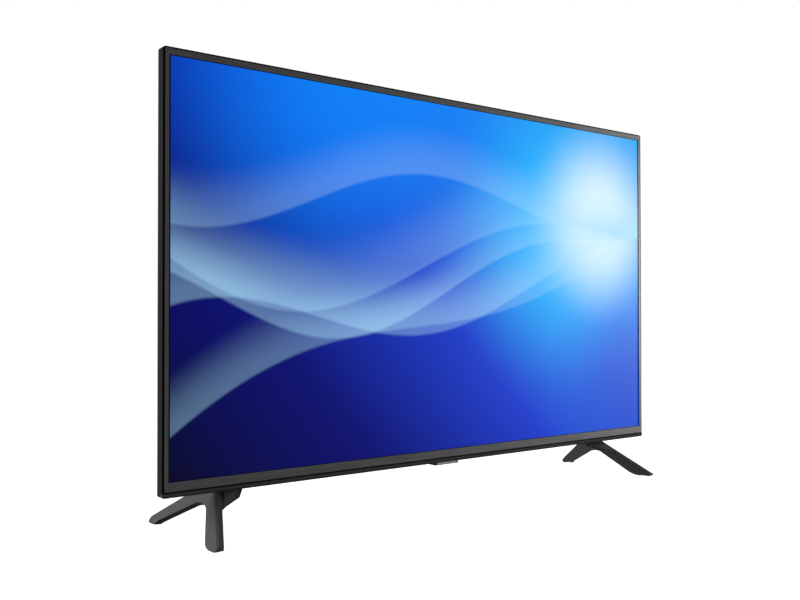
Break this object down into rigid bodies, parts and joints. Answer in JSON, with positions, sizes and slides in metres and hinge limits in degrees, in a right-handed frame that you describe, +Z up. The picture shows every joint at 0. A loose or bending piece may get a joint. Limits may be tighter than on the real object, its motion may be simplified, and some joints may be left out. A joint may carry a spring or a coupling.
{
  "type": "flat screen tv",
  "caption": "Slim flat screen television with a narrow brushed bezel, a lit panel, a stepped rear cover with side ports, and splayed feet of an upside-down V shape.",
  "frame": {"origin": "on the floor, under the middle of the set from side to side and midway between the front and rear tips of the feet", "axes": "+X to the viewer's right along the screen, +Y from the screen to the back, +Z up"},
  "size_m": [0.9586, 0.2021, 0.6209],
  "materials": {
    "bezel_metal": "brushed, dark grey",
    "trim_plastic": "fine satin",
    "cover_plastic": "fine grained",
    "screen_glass": "glossy, lit",
    "film": "smooth",
    "diffuser": "smooth",
    "tray_steel": "galvanised",
    "post_steel": "turned",
    "screw_steel": "black",
    "plain_screw": "zinc",
    "strip_board": "white coated",
    "lens": "clear moulded",
    "board_green": "solder mask",
    "board_tan": "phenolic board",
    "driver_film": "polyimide",
    "ribbon": "flat flexible",
    "heatsink": "extruded",
    "socket_metal": "plated",
    "socket_plastic": "moulded",
    "pin_brass": "plated",
    "ferrite": "taped winding",
    "capacitor": "sleeved",
    "speaker_plastic": "moulded",
    "speaker_metal": "black",
    "rubber": "matt",
    "sensor_window": "smoked",
    "key_plastic": "satin",
    "foot_paint": "dark grey satin",
    "bracket_steel": "pressed",
    "wire_red": "insulated",
    "wire_white": "insulated",
    "wire_black": "insulated"
  },
  "bodies": {
    "television": {"front_bezel": "bezel_metal", "bottom_trim": "trim_plastic", "middle_frame": "trim_plastic", "lcd_panel": "screen_glass", "driver_films": "driver_film", "source_board_left": "board_green", "source_board_right": "board_green", "prism_film": "film", "diffuser_film": "film", "diffuser_plate": "diffuser", "reflector_sheet": "diffuser", "led_strip_top": "strip_board", "led_strip_middle": "strip_board", "led_strip_bottom": "strip_board", "led_lenses": "lens", "plate_supports": "diffuser", "back_plate": "tray_steel", "wall_mount_posts": "post_steel", "rear_cover": "cover_plastic", "electronics_cover": "cover_plastic", "rear_cover_screws": "screw_steel", "electronics_cover_screws": "screw_steel", "mainboard": "board_green", "processor_heatsink": "heatsink", "hdmi_sockets": "socket_metal", "usb_sockets": "socket_metal", "lan_socket": "socket_metal", "aerial_socket": "socket_metal", "audio_socket": "socket_plastic", "power_board": "board_tan", "transformer": "ferrite", "filter_capacitors": "capacitor", "power_heatsinks": "heatsink", "power_inlet": "socket_plastic", "inlet_pins": "pin_brass", "tcon_board": "board_green", "tcon_ribbons": "ribbon", "panel_ribbon": "ribbon", "board_screws": "plain_screw", "speaker_box_left": "speaker_plastic", "speaker_box_right": "speaker_plastic", "speaker_driver_left": "speaker_metal", "speaker_driver_right": "speaker_metal", "speaker_grommets": "rubber", "sensor_housing": "trim_plastic", "sensor_lens": "sensor_window", "sensor_board": "board_green", "foot_left": "foot_paint", "foot_right": "foot_paint", "foot_pads": "rubber", "foot_bracket_left": "bracket_steel", "foot_bracket_right": "bracket_steel", "foot_screws": "screw_steel", "power_lead": "wire_red", "backlight_lead": "wire_white", "speaker_leads": "wire_black", "sensor_lead": "wire_black"},
    "power_key": {"power_button": "key_plastic"}
  },
  "joints": [
    {"name": "power_key_press", "type": "slide", "parent": "television", "child": "power_key", "axis": [0, 0, 1], "range_m": [0, 0.001], "stiffness_N_per_m": 600}
  ]
}
